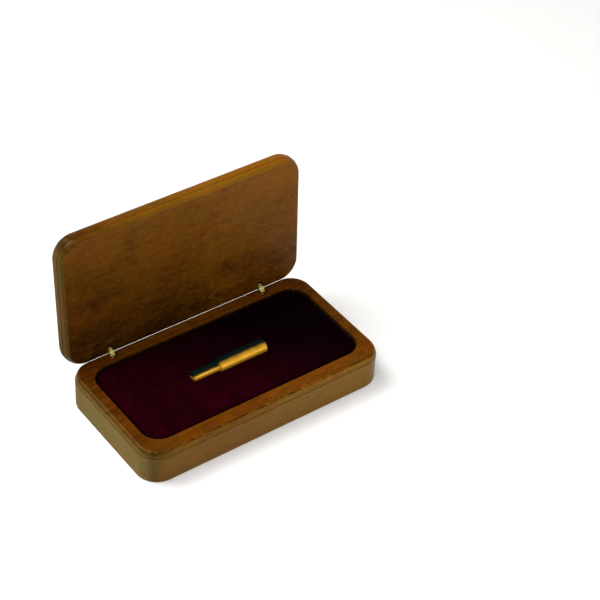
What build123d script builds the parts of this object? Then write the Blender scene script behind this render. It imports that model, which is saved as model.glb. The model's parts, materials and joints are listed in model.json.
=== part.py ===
from build123d import *
import math
import os

# A small hinged hardwood presentation case with a velvet pad and a turned brass
# keepsake.  The origin is on the underside of the base, at its centre: +X runs
# along the case, +Y points to the hinge side and +Z is up.  The lid and its
# fittings are drawn closed and then swung to the open rest pose.

os.makedirs("parts", exist_ok=True)

# ---- driving dimensions, in millimetres and degrees ----

CASE_WIDTH = 150.0
CASE_DEPTH = 81.0
CORNER_RADIUS = 12.5
BASE_HEIGHT = 20.0
LID_THICKNESS = 11.0
SEAM_GAP = 0.2                   # between the rim and the closed lid
OPEN_ANGLE = 93.0                # where the two rounded back edges meet

SEAM_ROUND_WIDTH = 2.5           # rounded edges that form a V at the seam
SEAM_ROUND_HEIGHT = 3.5
LID_ROUND = 4.5                  # rounded edge of the lid's outside face
QUIRK = 0.25                     # small step where a rounding meets the side
FOOT_ROUND = 0.7                 # broken edge under the base
FOOT_QUIRK = 0.01

SIDE_WALL = 7.75
END_WALL = 9.5                   # front and back walls
POCKET_RADIUS = 10.5
POCKET_FLOOR = 5.0
RIM_BREAK = 0.4                  # broken edge round the mouth of the pocket
CUT_MARGIN = 1.0                 # how far a cutter runs past the face it opens

HINGE_SPACING = 97.0             # between the two hinges
BARREL_RADIUS = 2.5
BARREL_LENGTH = 7.0
BARREL_BREAK = 0.12
BARREL_INSET = 4.0               # barrel centre to the back face
BARREL_RINGS = 3
RING_START = 0.9                 # first ring above the barrel's foot
RING_PITCH = 1.2
RING_SIZE = 0.2
GLUE_GAP = 0.03                  # round a barrel in its hole
AXIS_INSET = 1.8                 # virtual hinge axis to the back face
PIVOT_OFFSET = 1.5               # barrel pivots to the virtual axis, along Y
PIVOT_DEPTH = 1.2                # barrel pivots to the virtual axis, along Z
SLOT_WIDTH = 2.6
SLOT_DEPTH = 2.4
RELIEF_DEPTH = 1.4               # notch in the wood behind each barrel slot
RELIEF_INSET = 0.7
LEAF_THICKNESS = 0.44
LEAF_PITCH = 0.49
LEAF_HALF_WIDTH = 1.1
BASE_LEAF_STEPS = (-2, 0, 2)     # leaf places across the slot, in pitches
LID_LEAF_STEPS = (-1, 1)
PIN_RADIUS = 0.3
PIN_SEAT = 0.01                  # round a pin that doesn't turn
PIN_PLAY = 0.04                  # round a pin that does
BARREL_PIN_LENGTH = 4.4

PAD_TOP = 19.0                   # velvet surface
PAD_GAP = 0.2                    # velvet to the pocket wall
VELVET = 0.8
BOARD_THICKNESS = 1.4
SPRING_FOAM_THICKNESS = 5.4      # soft sheet that the pad floats on
LAYER_GAP = 0.05
TUCK = 8.0                       # velvet folded in under the board
TUCK_RADIUS = 5.0

HEAD_LENGTH = 30.0
HEAD_RADIUS = 4.4
STEM_LENGTH = 16.0
STEM_RADIUS = 3.3
KEEPSAKE_BREAK = 0.4
VELVET_FIT = 0.12                # keepsake to the velvet round it
LINING_FIT = 0.1                 # keepsake to its lining
LINING = 0.9

# ---- derived places ----

HALF_DEPTH = CASE_DEPTH / 2
LID_BOTTOM = BASE_HEIGHT + SEAM_GAP
LID_TOP = LID_BOTTOM + LID_THICKNESS
# The lid turns about a line behind the barrels.  That line, the two barrel
# pivots and the joint pin between the leaves are the corners of a rhombus, so
# each set of leaves stays parallel to the other part of the case.
AXIS_Y = HALF_DEPTH - AXIS_INSET
AXIS_Z = BASE_HEIGHT + SEAM_GAP / 2
BARREL_Y = HALF_DEPTH - BARREL_INSET
PIVOT_Y = AXIS_Y - PIVOT_OFFSET
BASE_PIVOT_Z = AXIS_Z - PIVOT_DEPTH
JOINT_PIN_Y = AXIS_Y - 2 * PIVOT_OFFSET

POCKET_WIDTH = CASE_WIDTH - 2 * SIDE_WALL
POCKET_DEPTH = CASE_DEPTH - 2 * END_WALL
PAD_WIDTH = POCKET_WIDTH - 2 * PAD_GAP
PAD_DEPTH = POCKET_DEPTH - 2 * PAD_GAP
PAD_RADIUS = POCKET_RADIUS - PAD_GAP
SPRING_FOAM_BOTTOM = POCKET_FLOOR + LAYER_GAP
PAD_BOTTOM = SPRING_FOAM_BOTTOM + SPRING_FOAM_THICKNESS + LAYER_GAP
BOARD_BOTTOM = PAD_BOTTOM + VELVET + LAYER_GAP
BOARD_TOP = BOARD_BOTTOM + BOARD_THICKNESS
FOAM_BOTTOM = BOARD_TOP + LAYER_GAP
FOAM_TOP = PAD_TOP - VELVET - LAYER_GAP

# The keepsake lies along X, centred in the pad, sunk to its own centre line.
STEM_END_X = -(HEAD_LENGTH + STEM_LENGTH) / 2
SHOULDER_X = STEM_END_X + STEM_LENGTH
HEAD_END_X = -STEM_END_X
KEEPSAKE_SECTIONS = (
    (STEM_END_X, SHOULDER_X, STEM_RADIUS),
    (SHOULDER_X, HEAD_END_X, HEAD_RADIUS),
)

HINGE_AXIS = Axis((0, AXIS_Y, AXIS_Z), (-1, 0, 0))
SEAM_PLANE = Plane.XY.offset(AXIS_Z)


# ---- helpers ----

def slab(width, depth, radius, bottom, top):
    """A flat block with rounded corners, between two heights."""
    outline = RectangleRounded(width, depth, radius)
    return extrude(Pos(0, 0, bottom) * outline, top - bottom)


def block(x_range, y_range, z_range):
    """A plain box between low and high limits along each axis."""
    low = [min(limits) for limits in (x_range, y_range, z_range)]
    high = [max(limits) for limits in (x_range, y_range, z_range)]
    size = [b - a for a, b in zip(low, high)]
    centre = [(a + b) / 2 for a, b in zip(low, high)]
    return Pos(*centre) * Box(*size)


def rod(radius, x_start, x_end, y, z):
    """A round bar along X."""
    middle = (x_start + x_end) / 2
    return Pos(middle, y, z) * Rot(0, 90, 0) * Cylinder(radius, x_end - x_start)


def shaped_edge(width, height, quirk, face_z, direction):
    """A quarter ellipse that ends in a small step at the side of a block.

    The side is at 0 and the block lies at negative first coordinates; direction
    is +1 for an edge under the face at face_z, and -1 for one above it.
    """
    centre = (-width, face_z - direction * height)
    start_angle = 0 if direction > 0 else -90
    arc = EllipticalCenterArc(centre, width - quirk, height, start_angle, arc_size=90)
    return arc, centre[1]


def rounded_block(bottom, top, lower, upper):
    """The case outline between two heights, with (width, height, quirk) edges."""
    rim_width = 8.0
    overlap = 1.0
    outline = RectangleRounded(CASE_WIDTH, CASE_DEPTH, CORNER_RADIUS)
    path = outline.face().outer_wire()
    outward = (path % 0).cross(Vector(0, 0, 1))
    section_plane = Plane(path @ 0, x_dir=outward, z_dir=outward.cross(Vector(0, 0, 1)))
    lower_arc, side_low = shaped_edge(*lower, bottom, -1)
    upper_arc, side_high = shaped_edge(*upper, top, 1)
    side = Polyline(lower_arc @ 1, (0, side_low), (0, side_high), upper_arc @ 0)
    inside = Polyline(upper_arc @ 1, (-rim_width, top), (-rim_width, bottom), lower_arc @ 0)
    section = section_plane * make_face([lower_arc, side, upper_arc, inside])
    rim = sweep(section, path=path)
    inset = rim_width - overlap
    core = slab(CASE_WIDTH - 2 * inset, CASE_DEPTH - 2 * inset,
                CORNER_RADIUS - inset, bottom, top)
    return rim + core


def on_lid(shape):
    """A shape drawn above the seam, swung with the lid to the open rest pose."""
    return shape.rotate(HINGE_AXIS, OPEN_ANGLE)


def mirrored(shape):
    """A shape of the base, reflected to the lid side of the seam."""
    return mirror(shape, about=SEAM_PLANE)


def save(shape, name):
    shape.label = name
    export_step(shape, os.path.join("parts", name + ".step"))


# ---- wooden parts ----

SEAM_EDGE = (SEAM_ROUND_WIDTH, SEAM_ROUND_HEIGHT, QUIRK)
LID_EDGE = (LID_ROUND, LID_ROUND, QUIRK)


def hinge_seat(x):
    """Everything that one hinge removes from the rim of the base."""
    top = BASE_HEIGHT + CUT_MARGIN
    hole_bottom = BASE_HEIGHT - BARREL_LENGTH - LAYER_GAP
    hole = Pos(x, BARREL_Y, (hole_bottom + top) / 2) * Cylinder(
        BARREL_RADIUS + GLUE_GAP, top - hole_bottom)
    relief_half = SLOT_WIDTH / 2 + GLUE_GAP
    relief = block((x - relief_half, x + relief_half),
                   (BARREL_Y, HALF_DEPTH - RELIEF_INSET),
                   (BASE_HEIGHT - RELIEF_DEPTH, top))
    return hole + relief


HINGE_PLACES = {"left": -HINGE_SPACING / 2, "right": HINGE_SPACING / 2}


def make_base_tray():
    foot = (FOOT_ROUND, FOOT_ROUND, FOOT_QUIRK)
    tray = rounded_block(0, BASE_HEIGHT, foot, SEAM_EDGE)
    tray -= slab(POCKET_WIDTH, POCKET_DEPTH, POCKET_RADIUS, POCKET_FLOOR,
                 BASE_HEIGHT + CUT_MARGIN)
    rim_edges = tray.edges().filter_by_position(Axis.Z, BASE_HEIGHT, BASE_HEIGHT)
    mouth = [edge for edge in rim_edges
             if abs(edge.center().X) < CASE_WIDTH / 2 - SIDE_WALL / 2
             and abs(edge.center().Y) < CASE_DEPTH / 2 - END_WALL / 2]
    tray = chamfer(mouth, RIM_BREAK)
    for x in HINGE_PLACES.values():
        tray -= hinge_seat(x)
    return tray


def make_lid_panel():
    panel = rounded_block(LID_BOTTOM, LID_TOP, SEAM_EDGE, LID_EDGE)
    for x in HINGE_PLACES.values():
        panel -= mirrored(hinge_seat(x))
    return on_lid(panel)


# ---- pad ----

def keepsake_shape(allowance):
    """The keepsake's turned outline, grown all over by an allowance."""
    stem, head = [rod(radius + allowance, start - allowance, end + allowance, 0, PAD_TOP)
                  for start, end, radius in KEEPSAKE_SECTIONS]
    return stem + head


def keepsake_slot(allowance, bottom, top):
    """A stepped slot that follows the keepsake's plan, between two heights."""
    stem, head = [block((start - allowance, end + allowance),
                        (-radius - allowance, radius + allowance), (bottom, top))
                  for start, end, radius in KEEPSAKE_SECTIONS]
    return stem + head


def pad_layer(bottom, top):
    """A layer of the pad that fills the velvet cover, between two heights."""
    inset = VELVET + LAYER_GAP
    return slab(PAD_WIDTH - 2 * inset, PAD_DEPTH - 2 * inset, PAD_RADIUS - inset, bottom, top)


def make_spring_foam():
    """The soft sheet under the pad, which gives way when the lid presses."""
    return pad_layer(SPRING_FOAM_BOTTOM, SPRING_FOAM_BOTTOM + SPRING_FOAM_THICKNESS)


def make_pad_board():
    return pad_layer(BOARD_BOTTOM, BOARD_TOP)


def make_pad_foam():
    groove = keepsake_shape(LINING_FIT + LINING + LAYER_GAP)
    return pad_layer(FOAM_BOTTOM, FOAM_TOP) - groove


def make_velvet_cover():
    cover = slab(PAD_WIDTH, PAD_DEPTH, PAD_RADIUS, PAD_BOTTOM, PAD_TOP)
    cover -= slab(PAD_WIDTH - 2 * VELVET, PAD_DEPTH - 2 * VELVET, PAD_RADIUS - VELVET,
                  PAD_BOTTOM + VELVET, PAD_TOP - VELVET)
    cover -= slab(PAD_WIDTH - 2 * TUCK, PAD_DEPTH - 2 * TUCK, TUCK_RADIUS,
                  PAD_BOTTOM - CUT_MARGIN, PAD_BOTTOM + 2 * VELVET)
    return cover - keepsake_slot(VELVET_FIT, PAD_TOP - 2 * VELVET, PAD_TOP + CUT_MARGIN)


def make_groove_lining():
    """A thin velvet trough that the keepsake lies in."""
    trough = keepsake_shape(LINING_FIT + LINING) - keepsake_shape(LINING_FIT)
    keep = block((-CASE_WIDTH, CASE_WIDTH), (-CASE_DEPTH, CASE_DEPTH), (0, FOAM_TOP))
    return trough & keep


def make_brass_keepsake():
    stem = rod(STEM_RADIUS, STEM_END_X, SHOULDER_X + KEEPSAKE_BREAK, 0, PAD_TOP)
    head = rod(HEAD_RADIUS, SHOULDER_X, HEAD_END_X, 0, PAD_TOP)
    head = chamfer(head.edges().filter_by(GeomType.CIRCLE), KEEPSAKE_BREAK)
    stem = chamfer(stem.edges().filter_by(GeomType.CIRCLE).sort_by(Axis.X)[0],
                   KEEPSAKE_BREAK)
    return stem + head


# ---- hinges ----

def make_base_barrel(x):
    """A slotted, ring-grooved brass barrel, flush with the rim of the base."""
    barrel = Pos(x, BARREL_Y, BASE_HEIGHT - BARREL_LENGTH / 2) * Cylinder(
        BARREL_RADIUS, BARREL_LENGTH)
    barrel = chamfer(barrel.edges().filter_by(GeomType.CIRCLE), BARREL_BREAK)
    slot_half = SLOT_WIDTH / 2
    reach = BARREL_RADIUS + CUT_MARGIN
    barrel -= block((x - slot_half, x + slot_half), (BARREL_Y - reach, BARREL_Y + reach),
                    (BASE_HEIGHT - SLOT_DEPTH, BASE_HEIGHT + CUT_MARGIN))
    barrel -= rod(PIN_RADIUS + PIN_SEAT, x - reach, x + reach, PIVOT_Y, BASE_PIVOT_Z)
    for number in range(BARREL_RINGS):
        ring_z = BASE_HEIGHT - BARREL_LENGTH + RING_START + RING_PITCH * number
        ring = Cylinder(reach, RING_SIZE) - Cylinder(BARREL_RADIUS - RING_SIZE, RING_SIZE)
        barrel -= Pos(x, BARREL_Y, ring_z) * ring
    return barrel


def make_base_pin(x):
    half = BARREL_PIN_LENGTH / 2
    return rod(PIN_RADIUS, x - half, x + half, PIVOT_Y, BASE_PIVOT_Z)


def make_leaves(x, steps, joint_hole_radius):
    """Flat links from the base pivots to the joint pin, with the lid closed."""
    leaves = []
    for step in steps:
        middle = x + step * LEAF_PITCH
        near = middle - LEAF_THICKNESS / 2
        far = middle + LEAF_THICKNESS / 2
        plane = Plane(origin=(near, 0, 0), x_dir=(0, 1, 0), z_dir=(1, 0, 0))
        pivot = Vector(PIVOT_Y, BASE_PIVOT_Z)
        joint = Vector(JOINT_PIN_Y, AXIS_Z)
        outline = SlotCenterToCenter((joint - pivot).length, 2 * LEAF_HALF_WIDTH)
        turn = math.degrees(math.atan2(joint.Y - pivot.Y, joint.X - pivot.X))
        centre = (pivot + joint) / 2
        leaf = extrude(plane * Pos(centre.X, centre.Y) * Rot(0, 0, turn) * outline,
                       LEAF_THICKNESS)
        start = near - CUT_MARGIN
        end = far + CUT_MARGIN
        leaf -= rod(PIN_RADIUS + PIN_PLAY, start, end, PIVOT_Y, BASE_PIVOT_Z)
        leaf -= rod(joint_hole_radius, start, end, JOINT_PIN_Y, AXIS_Z)
        leaves.append(leaf)
    return leaves


def make_joint_pin(x):
    half = max(BASE_LEAF_STEPS) * LEAF_PITCH + LEAF_THICKNESS / 2
    return rod(PIN_RADIUS, x - half, x + half, JOINT_PIN_Y, AXIS_Z)


def swing_base_link(shape):
    """Turn a base-side link about its barrel pivot to the open rest pose."""
    return shape.rotate(Axis((0, PIVOT_Y, BASE_PIVOT_Z), (-1, 0, 0)), OPEN_ANGLE)


def carry_lid_link(shape):
    """Carry a lid-side link to the open rest pose; it keeps its direction."""
    turn = math.radians(OPEN_ANGLE)
    moved_y = -PIVOT_OFFSET * math.cos(turn) + PIVOT_DEPTH * math.sin(turn)
    moved_z = PIVOT_OFFSET * math.sin(turn) + PIVOT_DEPTH * math.cos(turn)
    return Pos(0, moved_y + PIVOT_OFFSET, moved_z - PIVOT_DEPTH) * shape


def save_hinge(side, x):
    fixed_hole = PIN_RADIUS + PIN_SEAT
    turning_hole = PIN_RADIUS + PIN_PLAY
    base_leaves = make_leaves(x, BASE_LEAF_STEPS, fixed_hole)
    lid_leaves = [mirrored(leaf) for leaf in make_leaves(x, LID_LEAF_STEPS, turning_hole)]
    save(make_base_barrel(x), side + "_base_barrel")
    save(on_lid(mirrored(make_base_barrel(x))), side + "_lid_barrel")
    save(make_base_pin(x), side + "_base_pin")
    save(on_lid(mirrored(make_base_pin(x))), side + "_lid_pin")
    save(Compound([swing_base_link(leaf) for leaf in base_leaves]), side + "_base_leaves")
    save(Compound([carry_lid_link(leaf) for leaf in lid_leaves]), side + "_lid_leaves")
    save(swing_base_link(make_joint_pin(x)), side + "_joint_pin")


# ---- the parts ----

save(make_base_tray(), "base_tray")
save(make_lid_panel(), "lid_panel")
save(make_spring_foam(), "spring_foam")
save(make_pad_board(), "pad_board")
save(make_pad_foam(), "pad_foam")
save(make_velvet_cover(), "velvet_cover")
save(make_groove_lining(), "groove_lining")
save(make_brass_keepsake(), "brass_keepsake")
for side_name, hinge_x in HINGE_PLACES.items():
    save_hinge(side_name, hinge_x)
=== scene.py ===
import json
import math
import bmesh
import bpy
import numpy as np
from mathutils import Matrix, Vector


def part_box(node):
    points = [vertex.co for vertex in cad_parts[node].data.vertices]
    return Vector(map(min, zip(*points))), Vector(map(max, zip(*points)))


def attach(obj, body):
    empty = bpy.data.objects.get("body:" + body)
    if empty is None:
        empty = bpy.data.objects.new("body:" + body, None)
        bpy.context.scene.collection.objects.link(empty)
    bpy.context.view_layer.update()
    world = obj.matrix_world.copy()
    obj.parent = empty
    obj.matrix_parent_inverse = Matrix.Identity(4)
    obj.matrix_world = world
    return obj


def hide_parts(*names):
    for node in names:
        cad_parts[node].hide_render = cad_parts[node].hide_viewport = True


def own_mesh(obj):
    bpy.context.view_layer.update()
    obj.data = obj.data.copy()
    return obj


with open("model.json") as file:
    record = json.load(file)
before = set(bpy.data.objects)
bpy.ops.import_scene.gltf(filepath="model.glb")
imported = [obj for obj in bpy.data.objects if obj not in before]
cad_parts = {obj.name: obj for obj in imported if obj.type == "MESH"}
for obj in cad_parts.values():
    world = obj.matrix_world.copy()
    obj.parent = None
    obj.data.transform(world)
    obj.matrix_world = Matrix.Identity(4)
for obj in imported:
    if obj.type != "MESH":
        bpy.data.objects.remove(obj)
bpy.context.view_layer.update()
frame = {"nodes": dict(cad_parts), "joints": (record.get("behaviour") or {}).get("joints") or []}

MM = 0.001
NODES = frame["nodes"]
JOINTS = {joint["name"]: joint for joint in frame["joints"]}
SIDES = ("left", "right")


# ---- places taken from the frame ----

def size_of(node):
    """A node's lowest and highest corners."""
    low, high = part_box(node)
    return Vector(low), Vector(high)


COVER_LOW, COVER_HIGH = size_of("velvet_cover")
FOAM_LOW, FOAM_HIGH = size_of("pad_foam")
SPRING_LOW, SPRING_HIGH = size_of("spring_foam")

RIM_Z = size_of("base_tray")[1].z
PAD_Z = COVER_HIGH.z              # the keepsake's axis is at this height too
HINGE_Y, HINGE_Z = JOINTS["lid_hinge"]["pos_m"][1:]
OPEN_ANGLE = math.radians(-JOINTS["lid_hinge"]["range_deg"][0])
SEAM_ROUND = 3.5 * MM             # height of the rounding each side of the seam
KEEPSAKE_PARTS = ((-23.0, -7.0, 3.3), (-7.0, 23.0, 4.4))   # mm: start, end, radius


# ---- camera ----

FOCAL_LENGTH = 107.39             # mm, on a 36 mm sensor
VIEW_AZIMUTH = math.radians(-38.809)
VIEW_ELEVATION = math.radians(40.336)
VIEW_ROLL = math.radians(3.906)
VIEW_DISTANCE = 0.960645
VIEW_OFFSET = (0.03921, 0.047001)  # to the right and up
CLIP_RANGE = (0.02, 20)


def view_axes():
    """The camera's right, up and backward directions."""
    sin_a, cos_a = math.sin(VIEW_AZIMUTH), math.cos(VIEW_AZIMUTH)
    sin_e, cos_e = math.sin(VIEW_ELEVATION), math.cos(VIEW_ELEVATION)
    sin_r, cos_r = math.sin(VIEW_ROLL), math.cos(VIEW_ROLL)
    back = Vector((sin_a * cos_e, -cos_a * cos_e, sin_e))
    level = Vector((cos_a, sin_a, 0))
    steep = back.cross(level)
    right = cos_r * level + sin_r * steep
    up = cos_r * steep - sin_r * level
    return right, up, back


def make_camera():
    right, up, back = view_axes()
    place = back * VIEW_DISTANCE + right * VIEW_OFFSET[0] + up * VIEW_OFFSET[1]
    data = bpy.data.cameras.new("camera")
    data.lens = FOCAL_LENGTH
    data.clip_start, data.clip_end = CLIP_RANGE
    camera = bpy.data.objects.new("camera", data)
    bpy.context.collection.objects.link(camera)
    turn = Matrix((right, up, back)).transposed().to_4x4()
    camera.matrix_world = Matrix.Translation(place) @ turn
    bpy.context.scene.camera = camera


make_camera()


# ---- light ----

LAMP_TARGET = Vector((0, 0, 0.03))


def make_lamp(name, direction, distance, size, power, colour=(1, 1, 1)):
    """A square area lamp in one direction from the case, aimed back at it."""
    data = bpy.data.lights.new(name, "AREA")
    data.shape = "SQUARE"
    data.size = size
    data.energy = power
    data.color = colour
    lamp = bpy.data.objects.new(name, data)
    bpy.context.collection.objects.link(lamp)
    towards = Vector(direction).normalized() * distance
    lamp.location = LAMP_TARGET + towards
    lamp.rotation_euler = (-towards).to_track_quat("-Z", "Y").to_euler()


make_lamp("key", (-0.36, 0.44, 0.84), 1.3, 0.75, 14.0, (1.0, 0.97, 0.93))
make_lamp("left_front", (-0.51, -0.40, 0.74), 1.2, 0.30, 2.4, (1.0, 0.96, 0.93))
make_lamp("right_front", (0.478, -0.80, 0.16), 1.2, 0.60, 3.1)
make_lamp("top", (-0.1, -0.1, 1.0), 1.4, 1.1, 7.5)

WORLD_COLOURS = (                 # from the horizon and below, 0, to overhead, 1
    (0.00, (0.42, 0.42, 0.42, 1)),
    (0.25, (0.36, 0.36, 0.36, 1)),
    (0.50, (0.10, 0.11, 0.11, 1)),
    (0.68, (0.012, 0.024, 0.026, 1)),
    (1.00, (0.010, 0.022, 0.024, 1)),
)


def make_world():
    """Bright round the horizon and darker overhead, like a table in a dim studio."""
    world = bpy.data.worlds.new("studio")
    world.use_nodes = True
    tree = world.node_tree
    place = tree.nodes.new("ShaderNodeTexCoord")
    split = tree.nodes.new("ShaderNodeSeparateXYZ")
    ramp = tree.nodes.new("ShaderNodeValToRGB")
    tree.links.new(place.outputs["Generated"], split.inputs[0])
    tree.links.new(split.outputs["Z"], ramp.inputs["Fac"])
    tree.links.new(ramp.outputs["Color"], tree.nodes["Background"].inputs["Color"])
    stops = ramp.color_ramp.elements
    stops.remove(stops[1])
    stops[0].position, stops[0].color = WORLD_COLOURS[0]
    for position, colour in WORLD_COLOURS[1:]:
        stops.new(position).color = colour
    tree.nodes["Background"].inputs["Strength"].default_value = 1.0
    bpy.context.scene.world = world


make_world()
bpy.context.scene.view_settings.view_transform = "Standard"


# ---- shader building ----

MIX_SHARE, MIX_FIRST, MIX_SECOND = 0, 6, 7     # a Mix node's inputs when it mixes colours
MIX_RESULT = 2                                 # and its output


class Shader:
    """A material under construction: makes nodes, sets and links their inputs."""

    def __init__(self, name):
        self.material = bpy.data.materials.new(name)
        self.material.use_nodes = True
        self.tree = self.material.node_tree
        self.surface = self.tree.nodes["Principled BSDF"]

    def node(self, kind, inputs=None, **settings):
        made = self.tree.nodes.new("ShaderNode" + kind)
        for key, value in settings.items():
            setattr(made, key, value)
        for key, value in (inputs or {}).items():
            self.put(made.inputs[key], value)
        return made

    def put(self, socket, value):
        if isinstance(value, bpy.types.NodeSocket):
            self.tree.links.new(value, socket)
        elif isinstance(value, tuple) and len(value) == 3 and socket.type == "RGBA":
            socket.default_value = (*value, 1)
        else:
            socket.default_value = value

    def set(self, **inputs):
        for key, value in inputs.items():
            self.put(self.surface.inputs[key.replace("_", " ")], value)

    def place(self):
        return self.node("TexCoord").outputs["Object"]

    def vector(self, operation, first, second):
        made = self.node("VectorMath", {0: first, 1: second}, operation=operation)
        return made.outputs["Value" if operation in ("DOT_PRODUCT", "LENGTH") else "Vector"]

    def math(self, operation, first, second=0.0, clamp=False):
        made = self.node("Math", {0: first, 1: second}, operation=operation,
                         use_clamp=clamp)
        return made.outputs["Value"]

    def plus(self, first, second, clamp=False):
        return self.math("ADD", first, second, clamp)

    def minus(self, first, second):
        return self.math("SUBTRACT", first, second)

    def times(self, first, second):
        return self.math("MULTIPLY", first, second)

    def absolute(self, value):
        return self.math("ABSOLUTE", value)

    def noise(self, place, scale, detail=3.0, roughness=0.5, distortion=0.0):
        made = self.node("TexNoise", {"Vector": place, "Scale": scale, "Detail": detail,
                                      "Roughness": roughness, "Distortion": distortion})
        return made.outputs["Fac"]

    def ramp(self, value, low, high, start=0.0, end=1.0, smooth=True):
        """value from low..high to start..end, clamped."""
        made = self.node("MapRange", {"Value": value, "From Min": low, "From Max": high,
                                      "To Min": start, "To Max": end}, clamp=True)
        made.interpolation_type = "SMOOTHSTEP" if smooth else "LINEAR"
        return made.outputs["Result"]

    def band(self, value, middle, half_width):
        """1 on a narrow line where value is middle, falling to 0 beside it."""
        away = self.absolute(self.minus(value, middle))
        return self.ramp(away, 0.0, half_width, 1.0, 0.0)

    def mix(self, share, first, second, blend="MIX"):
        made = self.node("Mix", data_type="RGBA", blend_type=blend)
        for number, value in ((MIX_SHARE, share), (MIX_FIRST, first), (MIX_SECOND, second)):
            self.put(made.inputs[number], value)
        return made.outputs[MIX_RESULT]

    def bump(self, height, distance, strength=1.0):
        made = self.node("Bump", {"Height": height, "Distance": distance,
                                  "Strength": strength})
        self.put(self.surface.inputs["Normal"], made.outputs["Normal"])


def paint(material, *objects):
    """Give each object this one material, whatever slots it had."""
    for item in objects:
        if not item.material_slots:
            item.data.materials.append(material)
        for number in range(len(item.material_slots)):
            item.material_slots[number].material = material


# ---- wood ----

OUTER_RIM = (68.3 * MM, 32.8 * MM)      # the rim's outer edge starts beyond these
HALF_CASE = (75 * MM, 40 * MM)          # the leans in tone are measured over these
MIDDLE_TONE = 0.46
END_EDGE_LIGHTER = 0.3
LINE_HALF_WIDTH = 0.42 * MM
CORNER_PAINTED_SHADE = (0.020, 0.018, 0.0045)
RECESS_PAINTED_SHADE = (0.022, 0.007, 0.0006)
PORE_BROWN = (0.016, 0.006, 0.001)
DUST_AND_CREASE_SHADE_BROWN = (0.014, 0.007, 0.002)
FLECK_GOLD = (0.42, 0.22, 0.022)
WARMER = (1.12, 0.90, 0.78)
COOLER = (0.92, 1.0, 1.10)


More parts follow.
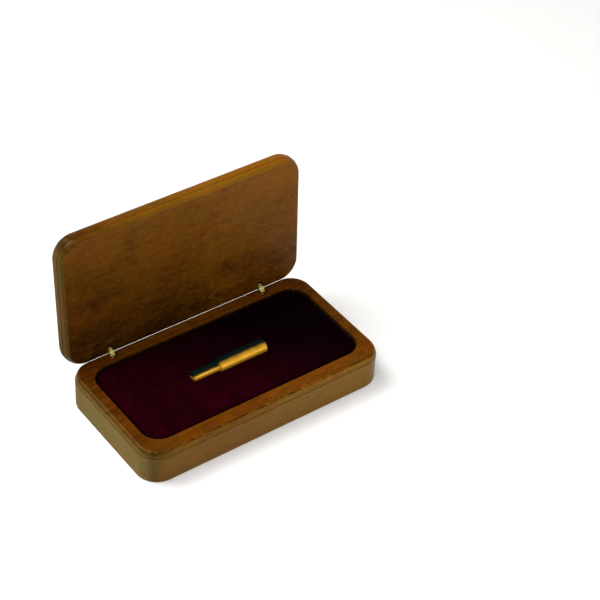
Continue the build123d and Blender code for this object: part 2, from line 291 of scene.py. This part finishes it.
class Wood(Shader):
    """Solid wood with its grain along X, laid out by its place in the closed case.

    facing is 1 on the face that meets the other part and -1 on the outside face, and
    endwise is 1 on the ends. outer is 1 beyond the rim's outer edge, and at_end is 1
    where that edge runs along an end. flat is 1 on the face that meets the other part,
    turned_in is 1 there and on the rounded edge beside it, and rounded on that edge
    alone. lively is how strong the fine figure is, which grows along X.
    """

    def __init__(self, name, opened, face_sign, shift):
        super().__init__(name)
        pivot = Vector((0, HINGE_Y, HINGE_Z)) if opened else Vector((0, 0, 0))
        turn = OPEN_ANGLE if opened else 0.0
        along_y = (0, math.cos(turn), -math.sin(turn))
        along_z = (0, math.sin(turn), math.cos(turn))
        coordinates = self.node("TexCoord")
        local = self.vector("SUBTRACT", coordinates.outputs["Object"], tuple(pivot))
        self.x = self.vector("DOT_PRODUCT", local, (1, 0, 0))
        self.y = self.plus(self.vector("DOT_PRODUCT", local, along_y), pivot.y)
        self.z = self.plus(self.vector("DOT_PRODUCT", local, along_z), pivot.z)
        self.shift = shift
        stock = self.node("CombineXYZ", {"X": self.plus(self.x, shift), "Y": self.y,
                                         "Z": self.z})
        self.stock = stock.outputs["Vector"]

        normal = coordinates.outputs["Normal"]
        upright = self.vector("DOT_PRODUCT", normal, along_z)
        self.facing = self.times(upright, face_sign)
        self.endwise = self.absolute(self.vector("DOT_PRODUCT", normal, (1, 0, 0)))
        past_x = self.minus(self.absolute(self.x), OUTER_RIM[0])
        past_y = self.minus(self.absolute(self.y), OUTER_RIM[1])
        self.outer = self.ramp(self.math("MAXIMUM", past_x, past_y), 0.0, 0.4 * MM)
        self.at_end = self.ramp(self.minus(past_x, past_y), -2 * MM, 2 * MM)
        self.flat = self.ramp(self.facing, 0.950, 0.985)
        self.turned_in = self.times(self.ramp(self.facing, 0.05, 0.45), self.outer)
        self.rounded = self.minus(self.turned_in, self.flat)

        self.lively = self.ramp(self.x, -65 * MM, 65 * MM, 0.35, 1.65, False)
        self.fibre = self.layer(2000, 130, 4.0, 0.6, 0.4)
        self.pore = self.ramp(self.layer(2900, 420, 2.0, 0.45), 0.60, 0.70)

    def layer(self, across, along, detail, roughness=0.5, distortion=0.0):
        """Noise with one scale across the grain and another along it."""
        stretched = self.vector("MULTIPLY", self.stock, (along, across, across))
        return self.noise(stretched, 1.0, detail, roughness, distortion)

    def rings(self, heart):
        """Growth rings round a heart that runs along the grain."""
        wander = self.layer(24, 7, 2.0)
        from_heart = self.vector("SUBTRACT", self.stock, (self.shift, *heart))
        from_heart = self.vector("MULTIPLY", from_heart, (0.03, 1, 1))
        radius = self.vector("LENGTH", from_heart, (0, 0, 0))
        count = self.plus(self.times(radius, 420.0), self.times(wander, 5.0))
        from_line = self.minus(self.math("FRACT", count), 0.35)
        return self.ramp(self.absolute(from_line), 0.0, 0.65, 1.0, 0.0)

    def tone(self, heart, figure, lean):
        """The board's tone, from 0, dark, to 1, light."""
        streaks = self.layer(420, 12, 3.0, 0.55)
        clouds = self.layer(42, 30, 3.0, 0.55, 0.7)
        mottle = self.layer(330, 230, 3.0, 0.65, 0.5)
        curl = self.layer(1000, 560, 2.0, 0.6, 1.6)
        curl_share = self.times(self.lively, 0.60 * (1 - figure))
        tone = self.times(self.rings(heart), 0.20 * figure)
        for layer, share in ((self.fibre, 0.30 + 0.40 * figure), (streaks, 0.9 * figure),
                             (clouds, 0.80), (mottle, 0.66), (curl, curl_share)):
            tone = self.plus(tone, self.times(self.minus(layer, 0.5), share))
        to_end = self.ramp(self.absolute(self.x), 58 * MM, 71 * MM)
        # leans in tone; the one across is painted shade towards the hinge
        for place, share in ((self.x, lean["along"] / HALF_CASE[0]),
                             (self.y, lean["across"] / HALF_CASE[1]),
                             (to_end, -lean["inward"])):
            tone = self.plus(tone, self.times(place, share))
        return self.plus(tone, MIDDLE_TONE, clamp=True)

    def faces(self, tone, tones, edge_lean, end_share):
        """Each face kind in its own colours, with painted shade on corners and pocket walls."""
        edge_tone = self.plus(tone, self.times(self.at_end, END_EDGE_LIGHTER))
        # the edge lean; on the lid it paints shade towards the left end
        along_edge = self.times(self.x, edge_lean / HALF_CASE[0])
        edge_tone = self.plus(edge_tone, along_edge, clamp=True)
        tone_of = {"edge": edge_tone, "side": edge_tone}
        face = {kind: self.mix(tone_of.get(kind, tone), *pair)
                for kind, pair in tones.items()}
        edge = self.mix(self.times(self.at_end, end_share), face["edge"], face["end"])
        outside = self.ramp(self.facing, -0.97, -0.75, 1.0, 0.0)
        # painted shade on the rounded corners between the sides and the ends
        corner = self.times(self.band(self.endwise, 0.70, 0.32), 0.42)
        # painted shade on the pocket walls inside the rim
        walls = self.times(self.ramp(self.facing, -0.75, -0.60), self.minus(1.0, self.outer))
        colour = self.mix(self.ramp(self.endwise, 0.55, 0.95), face["side"], face["end"])
        for share, above in ((outside, face["outside"]), (self.turned_in, edge),
                             (corner, CORNER_PAINTED_SHADE), (walls, RECESS_PAINTED_SHADE),
                             (self.flat, face["meet"])):
            colour = self.mix(share, colour, above)
        return colour

    def marks(self, colour, glitter):
        """The colour with a wandering hue, dark pores, light flecks and a few wisps."""
        warmth = self.layer(44, 26, 3.0, 0.6, 0.8)
        hue = self.mix(self.ramp(warmth, 0.32, 0.68), WARMER, COOLER)
        colour = self.mix(0.7, colour, hue, "MULTIPLY")
        colour = self.mix(self.times(self.pore, 0.42), colour, PORE_BROWN)
        flecks = self.ramp(self.layer(1700, 420, 2.0, 0.5, 1.2), 0.59, 0.70)
        wisps = self.band(self.layer(22, 7, 1.0, 0.5, 0.5), 0.5, 0.0022)
        shining = self.plus(0.24, self.times(self.rounded, glitter))
        shining = self.times(shining, self.lively)
        light = self.math("MAXIMUM", self.times(flecks, shining), self.times(wisps, 0.16))
        return self.mix(light, colour, FLECK_GOLD)

    def lines(self, colour, lines):
        """The colour with dark lines round the board, part dust and wear, part painted shade."""
        worn = self.ramp(self.layer(260, 110, 4.0, 0.8), 0.42, 0.56)
        weaker_at_end = self.ramp(self.at_end, 0.0, 1.0, 1.0, 0.3)
        # each line darkens the crease or the rim's edge: part dust and wear, part painted shade
        for height, strength in lines:
            dust_and_crease_shade = self.times(self.band(self.z, height, LINE_HALF_WIDTH), strength)
            dust_and_crease_shade = self.times(dust_and_crease_shade, self.times(worn, self.outer))
            dust_and_crease_shade = self.times(dust_and_crease_shade, weaker_at_end)
            colour = self.mix(dust_and_crease_shade, colour, DUST_AND_CREASE_SHADE_BROWN)
        return colour

    def polish(self):
        """A thin finish, rougher and duller on the ends."""
        gloss = self.ramp(self.facing, 0.93, 0.98, 0.06, 0.015)
        gloss = self.times(gloss, self.ramp(self.at_end, 0.3, 1.0, 1.0, 0.15))
        gloss = self.times(gloss, self.ramp(self.endwise, 0.8, 1.0, 1.0, 0.1))
        rough = self.ramp(self.fibre, 0.25, 0.75, 0.30, 0.44, False)
        rough = self.plus(rough, self.ramp(self.endwise, 0.8, 1.0, 0.0, 0.25))
        rough = self.minus(rough, self.times(self.rounded, 0.10))
        self.set(Coat_Weight=gloss, Coat_Roughness=0.12, Roughness=rough,
                 Specular_IOR_Level=0.11, Specular_Tint=(1.0, 0.72, 0.25))
        self.bump(self.minus(self.times(self.fibre, 0.5), self.pore), 0.05 * MM, 0.5)


def make_wood(name, opened, face_sign, shift, heart, figure, tones, lines, lean, glitter,
              end_share):
    """The wood of one board, whose grain is moved along X by shift.

    heart is the middle of the growth rings, and figure the share of long streaks. tones
    has a (dark, light) pair for each kind of face. lean is how much lighter the board
    gets along X, across, away from its ends, and along X on its sides and rounded edge
    alone; the lean across paints shade towards the hinge, where lid and base shade each
    other, and on the lid the edge lean paints shade towards its left end. glitter is how
    much stronger the flecks are on the rounded edge, and end_share how like the end
    grain that edge is at the ends.
    """
    wood = Wood(name, opened, face_sign, shift)
    colour = wood.faces(wood.tone(heart, figure, lean), tones, lean["edge"], end_share)
    wood.set(Base_Color=wood.lines(wood.marks(colour, glitter), lines))
    wood.polish()
    return wood.material


BASE_TONES = {
    "meet": ((0.047, 0.011, 0.0003), (0.190, 0.055, 0.0021)),
    "edge": ((0.040, 0.014, 0.0005), (0.215, 0.092, 0.0034)),
    "side": ((0.112, 0.050, 0.0033), (0.190, 0.093, 0.0062)),
    "end": ((0.140, 0.091, 0.0165), (0.221, 0.150, 0.0340)),
    "outside": ((0.110, 0.058, 0.0110), (0.240, 0.138, 0.0270)),
}
LID_TONES = {
    "meet": ((0.025, 0.007, 0.0005), (0.205, 0.069, 0.0019)),
    "edge": ((0.052, 0.021, 0.0010), (0.220, 0.090, 0.0044)),
    "side": ((0.048, 0.018, 0.0007), (0.236, 0.087, 0.0038)),
    "end": ((0.080, 0.042, 0.0040), (0.132, 0.075, 0.0085)),
    "outside": ((0.060, 0.028, 0.0036), (0.215, 0.112, 0.0150)),
}
# dark lines, part dust and wear, part painted shade, at the crease and just under the rim's top
BASE_LINES = ((RIM_Z - SEAM_ROUND, 0.40), (RIM_Z - 0.3 * MM, 0.90))   # height, strength
# its lean across paints shade towards the back, where the open lid shades the base
BASE_TONE_AND_SHADE_LEAN = {"along": 0.06, "across": -0.13, "inward": 0.20, "edge": 0.25}
# its lean across paints shade towards the hinge, and its edge lean paints shade on the left
LID_PAINTED_SHADE_LEAN = {"along": 0.21, "across": -0.31, "inward": 0.0, "edge": 0.60}

base_wood = make_wood("base_wood", opened=False, face_sign=1, shift=0.0,
                      heart=(-0.030, -0.055), figure=0.8, tones=BASE_TONES,
                      lines=BASE_LINES, lean=BASE_TONE_AND_SHADE_LEAN, glitter=0.38, end_share=0.15)
lid_wood = make_wood("lid_wood", opened=True, face_sign=-1, shift=0.37,
                     heart=(0.012, 0.085), figure=0.3, tones=LID_TONES,
                     lines=(), lean=LID_PAINTED_SHADE_LEAN, glitter=0.0, end_share=0.85)
paint(base_wood, NODES["base_tray"])
paint(lid_wood, NODES["lid_panel"])


# ---- brass ----

# painted dark reflection and shade on the keepsake's upper back, facing the dark lid
PAINTED_DARK_REFLECTION = (0.001, 0.010, 0.008)
PAINTED_REFLECTION_SIDE = (0.0, 0.50, 0.866)        # it lies up and to the back
PIN_GRAIN = (900, 900, 5000)


def painted_reflection_share(shader, stain):
    """1 where the keepsake gets painted dark reflection and shade; laid out round its axis."""
    (_, shoulder, slim), (_, _, wide) = KEEPSAKE_PARTS
    outward = shader.vector("SUBTRACT", shader.place(), (0, 0, PAD_Z))
    along = shader.vector("DOT_PRODUCT", shader.place(), (1, 0, 0))
    radius = shader.ramp(along, (shoulder - 0.4) * MM, (shoulder - 0.1) * MM,
                         slim * MM, wide * MM)
    turned = shader.vector("DOT_PRODUCT", outward, PAINTED_REFLECTION_SIDE)
    turned = shader.math("DIVIDE", turned, radius)
    turned = shader.plus(turned, shader.times(stain, 0.2))
    wider_on_slim = shader.ramp(along, (shoulder - 1) * MM, (shoulder + 1) * MM, 0.30, 0.0)
    return shader.ramp(shader.plus(turned, wider_on_slim), 0.38, 0.84)


def make_brass(name, colour, dull, roughness, grain, metallic=1.0, painted_reflection=False):
    """Brass with fine marks and dull patches; grain is the marks' scale on each axis."""
    shader = Shader(name)
    marks = shader.noise(shader.vector("MULTIPLY", shader.place(), grain), 1.0, 3.0, 0.6)
    stain = shader.noise(shader.place(), 260.0, 3.0, 0.6)
    colour = shader.mix(shader.ramp(stain, 0.45, 0.75, 0.0, 0.6), colour, dull)
    colour = shader.mix(shader.ramp(marks, 0.35, 0.75, 0.0, 0.3), colour, dull)
    # paint the keepsake's upper back dark, for its reflection and shade
    if painted_reflection:
        colour = shader.mix(painted_reflection_share(shader, stain), colour, PAINTED_DARK_REFLECTION)
    shader.set(Base_Color=colour, Metallic=metallic, Specular_IOR_Level=0.15)
    shader.set(Roughness=shader.ramp(marks, 0.3, 0.7, roughness * 0.8, roughness * 1.25))
    shader.bump(marks, 0.004 * MM, 0.1)
    return shader.material


keepsake_brass = make_brass("keepsake_brass", colour=(0.90, 0.46, 0.030),
                            dull=(0.72, 0.34, 0.020), roughness=0.40,
                            grain=(70, 1300, 1300), metallic=0.45, painted_reflection=True)
# a much darker copy of the hinge brass, painted dark for the shade and dark reflections in the
# hinge
barrel_brass_painted_dark = make_brass("barrel_brass_painted_dark", colour=(0.30, 0.22, 0.08),
                          dull=(0.18, 0.12, 0.04), roughness=0.22, grain=PIN_GRAIN)
leaf_brass = make_brass("leaf_brass", colour=(1.0, 0.85, 0.27), dull=(1.0, 0.78, 0.22),
                        roughness=0.36, grain=PIN_GRAIN, metallic=0.7)
paint(keepsake_brass, NODES["brass_keepsake"])
for side in SIDES:
    for part in ("base_barrel", "lid_barrel", "base_pin", "lid_pin"):
        paint(barrel_brass_painted_dark, NODES[f"{side}_{part}"])
    for part in ("base_leaves", "lid_leaves", "joint_pin"):
        paint(leaf_brass, NODES[f"{side}_{part}"])


# ---- velvet, foam and board ----

PAD_RADIUS = 10.3 * MM                  # of the pad's corners
PAINTED_LIGHT_TOWARDS = (-0.72, -0.69, 0.0)
VELVET_DARK = (0.0085, 0.0001, 0.0013)
VELVET_LIGHT = (0.026, 0.0002, 0.0040)
VELVET_TIPS = (0.04, 0.0006, 0.008)
VELVET_SHADED = (0.0022, 0.0002, 0.0010)
VELVET_WALL_SHADE = (0.0015, 0.0003, 0.0006)


def make_velvet():
    """Cut velvet: a fine nap, brushed patches, and a painted shade line where it turns down.

    It is painted lighter towards the front left corner and painted into shade towards
    the back right, where the open lid shades it.
    """
    shader = Shader("velvet")
    place = shader.place()
    nap = shader.noise(place, 5200.0, 2.0, 0.6)
    pile = shader.noise(shader.vector("MULTIPLY", place, (900, 1500, 900)), 1.0, 3.0, 0.6)
    brushed = shader.noise(place, 75.0, 3.0, 0.6, 0.8)
    share = shader.plus(shader.times(pile, 0.45), shader.times(brushed, 0.55))
    share = shader.ramp(share, 0.33, 0.67)
    colour = shader.mix(share, VELVET_DARK, VELVET_LIGHT)
    colour = shader.mix(shader.ramp(nap, 0.5, 0.8, 0.0, 0.5), colour, VELVET_TIPS)
    # painted light towards the front left and painted shade towards the back right, under the
    # lid
    painted_light_share = shader.vector("DOT_PRODUCT", place, PAINTED_LIGHT_TOWARDS)
    painted_light_share = shader.ramp(painted_light_share, -40 * MM, 34 * MM, 0.0, 0.85)
    colour = shader.mix(painted_light_share, VELVET_SHADED, colour)
    flat = (1, 1, 0)
    inner = (COVER_HIGH.x - PAD_RADIUS, COVER_HIGH.y - PAD_RADIUS, 0)
    beyond = shader.vector("SUBTRACT", shader.vector("ABSOLUTE", place, flat), inner)
    beyond = shader.vector("MULTIPLY", shader.vector("MAXIMUM", beyond, (0, 0, 0)), flat)
    to_wall = shader.minus(PAD_RADIUS, shader.vector("LENGTH", beyond, flat))
    # painted shade in a band along the pocket walls
    wall_shade = shader.ramp(to_wall, 0.4 * MM, 2.1 * MM, 0.85, 0.0)
    colour = shader.mix(wall_shade, colour, VELVET_WALL_SHADE)
    shader.set(Base_Color=colour, Roughness=0.95, Specular_IOR_Level=0.01,
               Sheen_Weight=0.06, Sheen_Roughness=0.35, Sheen_Tint=(0.50, 0.01, 0.08))
    height = shader.plus(nap, shader.times(pile, 1.5))
    shader.bump(height, 0.12 * MM, 0.8)
    return shader.material


def make_foam():
    """Open-celled foam."""
    shader = Shader("foam")
    cells = shader.node("TexVoronoi", {"Vector": shader.place(), "Scale": 1600.0})
    cells = cells.outputs["Distance"]
    colour = shader.mix(shader.ramp(cells, 0.1, 0.6), (0.30, 0.27, 0.21), (0.62, 0.58, 0.47))
    shader.set(Base_Color=colour, Roughness=0.9, Specular_IOR_Level=0.15)
    shader.bump(cells, 0.3 * MM, 0.8)
    return shader.material


def make_board():
    """Grey board with its fibres along X."""
    shader = Shader("board")
    stretched = shader.vector("MULTIPLY", shader.place(), (900, 2600, 2600))
    fibres = shader.noise(stretched, 1.0, 4.0, 0.6)
    colour = shader.mix(fibres, (0.17, 0.15, 0.12), (0.38, 0.34, 0.28))
    shader.set(Base_Color=colour, Roughness=0.85, Specular_IOR_Level=0.2)
    shader.bump(fibres, 0.1 * MM, 0.5)
    return shader.material


velvet = make_velvet()
foam = make_foam()
board = make_board()
paint(board, NODES["pad_board"])


# ---- soft parts ----

WORK_SCALE = 10.0                # soft parts are worked on ten times larger
CORNER_STEPS = 12
ROUND_STEPS = 64
DRAW_REACH = 1.0 * MM            # cloth nearer the keepsake than this is drawn in
DRAW_CLEARANCE = 0.05 * MM
SLOPE_STEP = 0.01 * MM
CLOTH_FRAMES = 20


def mesh_object(name, make):
    """A new object whose mesh is filled in by make(bmesh)."""
    mesh = bpy.data.meshes.new(name)
    build = bmesh.new()
    make(build)
    bmesh.ops.recalc_face_normals(build, faces=build.faces)
    build.to_mesh(mesh)
    build.free()
    made = bpy.data.objects.new(name, mesh)
    bpy.context.collection.objects.link(made)
    return made


def rounded_outline(half_x, half_y, radius):
    """The points of a rectangle with round corners, anticlockwise."""
    points = []
    for quarter, (sign_x, sign_y) in enumerate(((1, 1), (-1, 1), (-1, -1), (1, -1))):
        for step in range(CORNER_STEPS + 1):
            angle = (quarter + step / CORNER_STEPS) * math.pi / 2
            points.append((sign_x * (half_x - radius) + radius * math.cos(angle),
                           sign_y * (half_y - radius) + radius * math.sin(angle)))
    return points


def add_slab(build, half_x, half_y, radius, bottom, top):
    """A flat closed block with that outline."""
    outline = rounded_outline(half_x, half_y, radius)
    low = [build.verts.new((x, y, bottom)) for x, y in outline]
    high = [build.verts.new((x, y, top)) for x, y in outline]
    build.faces.new(low)
    build.faces.new(high)
    for number in range(len(outline)):
        after = (number + 1) % len(outline)
        build.faces.new((low[number], low[after], high[after], high[number]))


def keepsake_cutter(allowance):
    """The keepsake's turned outline, grown all over by an allowance, as a solid."""
    def fill(build):
        rings = []
        (start, shoulder, slim), (_, end, wide) = KEEPSAKE_PARTS
        profile = ((start * MM - allowance, slim * MM + allowance),
                   (shoulder * MM - allowance, slim * MM + allowance),
                   (shoulder * MM - allowance, wide * MM + allowance),
                   (end * MM + allowance, wide * MM + allowance))
        for x, radius in profile:
            ring = []
            for step in range(ROUND_STEPS):
                angle = 2 * math.pi * step / ROUND_STEPS
                ring.append(build.verts.new((x, radius * math.cos(angle),
                                             PAD_Z + radius * math.sin(angle))))
            rings.append(ring)
        build.faces.new(rings[0])
        build.faces.new(rings[-1])
        for near, far in zip(rings, rings[1:]):
            for step in range(ROUND_STEPS):
                after = (step + 1) % ROUND_STEPS
                build.faces.new((near[step], near[after], far[after], far[step]))
    return mesh_object("cutter", fill)


def apply_modifiers(item):
    """Replace the object's mesh by what its modifiers make of it."""
    graph = bpy.context.evaluated_depsgraph_get()
    mesh = bpy.data.meshes.new_from_object(item.evaluated_get(graph))
    item.modifiers.clear()
    old = item.data
    item.data = mesh
    bpy.data.meshes.remove(old)


def modify(item, kind, **settings):
    modifier = item.modifiers.new(kind.lower(), kind)
    for key, value in settings.items():
        setattr(modifier, key, value)
    apply_modifiers(item)


def soft_block(name, half_x, half_y, radius, bottom, top, voxel, groove=None):
    """A closed rounded slab as an even mesh, with the keepsake's groove if asked."""
    block = mesh_object(
        name, lambda build: add_slab(build, half_x, half_y, radius, bottom, top))
    if groove is not None:
        cutter = keepsake_cutter(groove)
        modify(block, "BOOLEAN", operation="DIFFERENCE", object=cutter, solver="EXACT")
        bpy.data.objects.remove(cutter)
    block.data.transform(Matrix.Scale(WORK_SCALE, 4))
    modify(block, "REMESH", mode="VOXEL", voxel_size=voxel * WORK_SCALE)
    block.data.transform(Matrix.Scale(1 / WORK_SCALE, 4))
    return block


def coordinates_of(item):
    flat = np.empty(len(item.data.vertices) * 3)
    item.data.vertices.foreach_get("co", flat)
    return flat.reshape(-1, 3)


def move_points(item, points):
    item.data.vertices.foreach_set("co", points.ravel())
    item.data.update()


def keepsake_distance(points):
    """How far each point is outside the keepsake, in metres (negative inside)."""
    away = np.full(len(points), 1.0)
    across = np.hypot(points[:, 1], points[:, 2] - PAD_Z)
    for start, end, radius in KEEPSAKE_PARTS:
        along = np.maximum(start * MM - points[:, 0], points[:, 0] - end * MM)
        round_it = across - radius * MM
        outside = np.hypot(np.maximum(along, 0), np.maximum(round_it, 0))
        away = np.minimum(away, outside + np.minimum(np.maximum(along, round_it), 0))
    return away


def draw_in(points):
    """Pull the cloth near the keepsake close round it."""
    away = keepsake_distance(points)
    slope = np.empty_like(points)
    for axis in range(3):
        shifted = points.copy()
        shifted[:, axis] += SLOPE_STEP
        slope[:, axis] = (keepsake_distance(shifted) - away) / SLOPE_STEP
    slope /= np.maximum(np.linalg.norm(slope, axis=1, keepdims=True), 1e-9)
    wanted = np.maximum(away * away / DRAW_REACH, DRAW_CLEARANCE)
    shift = np.where(away < DRAW_REACH, wanted - away, 0.0)
    return points + slope * shift[:, None]


def inflate(item, pressure, hold, cap):
    """Swell a closed mesh as cloth under pressure; hold marks the points that stay."""
    start = coordinates_of(item)
    item.data.transform(Matrix.Scale(WORK_SCALE, 4))
    group = item.vertex_groups.new(name="hold")
    for number in np.flatnonzero(hold):
        group.add([int(number)], 1.0, "REPLACE")
    cloth = item.modifiers.new("cloth", "CLOTH")
    settings = cloth.settings
    settings.quality = 6
    settings.mass = 0.15
    settings.tension_stiffness = settings.compression_stiffness = 12
    settings.shear_stiffness = 6
    settings.bending_stiffness = 1.5
    settings.use_pressure = True
    settings.uniform_pressure_force = pressure
    settings.effector_weights.gravity = 0
    settings.vertex_group_mass = "hold"
    cloth.point_cache.frame_start = 1
    cloth.point_cache.frame_end = CLOTH_FRAMES
    scene = bpy.context.scene
    for number in range(1, CLOTH_FRAMES + 1):
        scene.frame_set(number)
    apply_modifiers(item)
    item.vertex_groups.clear()
    scene.frame_set(1)
    item.data.transform(Matrix.Scale(1 / WORK_SCALE, 4))
    moved = coordinates_of(item) - start
    length = np.linalg.norm(moved, axis=1, keepdims=True)
    limit = cap * np.tanh(length / cap) / np.maximum(length, 1e-12)
    move_points(item, start + moved * limit)


def smooth_shade(item):
    item.data.polygons.foreach_set("use_smooth", [True] * len(item.data.polygons))


PAD_VOXEL = 1.13 * MM
VELVET_SKIN = 0.7 * MM
SIDE_ROOM = 0.1 * MM             # the pad starts this much smaller than its cover
CROWN = 0.35 * MM                # and this much higher than the cover's top
GROOVE_FIT = 0.10 * MM           # between the keepsake and the velvet
GROOVE_DIP = 0.25 * MM           # the cover is drawn down beside the keepsake
DIP_DEPTH = 2.0 * MM
DIP_REACH = 4.0 * MM
HELD_AT_GROOVE = 0.8 * MM        # cloth this near the keepsake doesn't swell
HELD_AT_FOOT = 2.5 * MM          # nor does cloth this near the bottom
SWELL_PRESSURE = 5.0
SWELL_CAP = 0.55 * MM
TURNED_UNDER = 8 * MM            # how far the velvet is folded under the pad
UNDERSIDE_DEPTH = 0.3 * MM


def dip_beside_groove(points, away):
    """Lower the top of the cover beside the keepsake; away is each point's distance.

    The dip fades out between one and two times DIP_DEPTH below the top.
    """
    upper = np.clip((points[:, 2] - PAD_Z) / DIP_DEPTH + 2, 0, 1)
    points[:, 2] -= GROOVE_DIP * upper * np.exp(-(np.maximum(away, 0) / DIP_REACH) ** 2)


def keep_inside_cover(points):
    limit_x, limit_y = COVER_HIGH.x, COVER_HIGH.y
    points[:, 0] = np.clip(points[:, 0], -limit_x, limit_x)
    points[:, 1] = np.clip(points[:, 1], -limit_y, limit_y)
    points[:, 2] = np.clip(points[:, 2], COVER_LOW.z, None)


def open_underside(pad, half_x, half_y):
    """Cut away the underside inside the fold, where the velvet leaves the board bare."""
    def is_under(middle):
        return (middle.z < COVER_LOW.z + UNDERSIDE_DEPTH
                and abs(middle.x) < half_x - TURNED_UNDER
                and abs(middle.y) < half_y - TURNED_UNDER)

    build = bmesh.new()
    build.from_mesh(pad.data)
    under = [face for face in build.faces if is_under(face.calc_center_median())]
    bmesh.ops.delete(build, geom=under, context="FACES")
    build.to_mesh(pad.data)
    build.free()


def make_velvet_pad():
    """Velvet stretched over the pad and down into the keepsake's groove."""
    half_x, half_y = COVER_HIGH.x - SIDE_ROOM, COVER_HIGH.y - SIDE_ROOM
    pad = soft_block("velvet_pad", half_x, half_y, PAD_RADIUS - SIDE_ROOM, COVER_LOW.z,
                     PAD_Z + CROWN, PAD_VOXEL, GROOVE_FIT)
    points = coordinates_of(pad)
    away = keepsake_distance(points)
    dip_beside_groove(points, away)
    move_points(pad, points)
    near_groove = away < HELD_AT_GROOVE
    low = points[:, 2] < COVER_LOW.z + HELD_AT_FOOT
    inflate(pad, SWELL_PRESSURE, near_groove | low, SWELL_CAP)
    points = draw_in(coordinates_of(pad))
    keep_inside_cover(points)
    move_points(pad, points)
    open_underside(pad, half_x, half_y)
    modify(pad, "SOLIDIFY", thickness=VELVET_SKIN, offset=-1.0, use_even_offset=True)
    modify(pad, "SUBSURF", levels=1)
    smooth_shade(pad)
    paint(velvet, pad)
    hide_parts("velvet_cover", "groove_lining")
    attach(pad, "pad")


FOAM_VOXEL = 1.4 * MM
FOAM_INSET = 0.5 * MM
FOAM_RADIUS = PAD_RADIUS - 1.35 * MM
FOAM_TOP_ROOM = 0.7 * MM
FOAM_GROOVE_FIT = 1.1 * MM


def make_foam_core():
    """The block inside the velvet, with a wider groove that the lining sits in."""
    core = soft_block("foam_core", FOAM_HIGH.x - FOAM_INSET, FOAM_HIGH.y - FOAM_INSET,
                      FOAM_RADIUS, FOAM_LOW.z, FOAM_HIGH.z - FOAM_TOP_ROOM,
                      FOAM_VOXEL, FOAM_GROOVE_FIT)
    smooth_shade(core)
    paint(foam, core)
    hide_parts("pad_foam")
    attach(core, "pad")


SPRING_VOXEL = 1.6 * MM
SPRING_RADIUS = PAD_RADIUS - 0.85 * MM


def make_spring_foam():
    """The sheet under the pad; in the real case the closing lid squeezes it via the pad."""
    sheet = soft_block("spring_foam_sheet", SPRING_HIGH.x, SPRING_HIGH.y, SPRING_RADIUS,
                       SPRING_LOW.z, SPRING_HIGH.z, SPRING_VOXEL)
    smooth_shade(sheet)
    paint(foam, sheet)
    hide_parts("spring_foam")
    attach(sheet, "base")
    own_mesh(sheet)


make_velvet_pad()
make_foam_core()
make_spring_foam()


# ---- floor ----

FLOOR_HALF = 6.0                  # half its width


def make_floor():
    """A pale floor that is faintly lit from within, so that it stays near white."""
    mesh = bpy.data.meshes.new("floor")
    corners = [(x * FLOOR_HALF, y * FLOOR_HALF, 0)
               for x, y in ((-1, -1), (1, -1), (1, 1), (-1, 1))]
    mesh.from_pydata(corners, [], [(0, 1, 2, 3)])
    floor = bpy.data.objects.new("floor", mesh)
    bpy.context.collection.objects.link(floor)
    shader = Shader("floor")
    grain = shader.noise(shader.place(), 40.0, 2.0)
    colour = shader.mix(grain, (0.93, 0.93, 0.93), (0.96, 0.96, 0.96))
    shader.set(Base_Color=colour, Roughness=0.8, Specular_IOR_Level=0.1,
               Emission_Color=(1.0, 1.0, 1.0), Emission_Strength=0.16)
    paint(shader.material, floor)


make_floor()
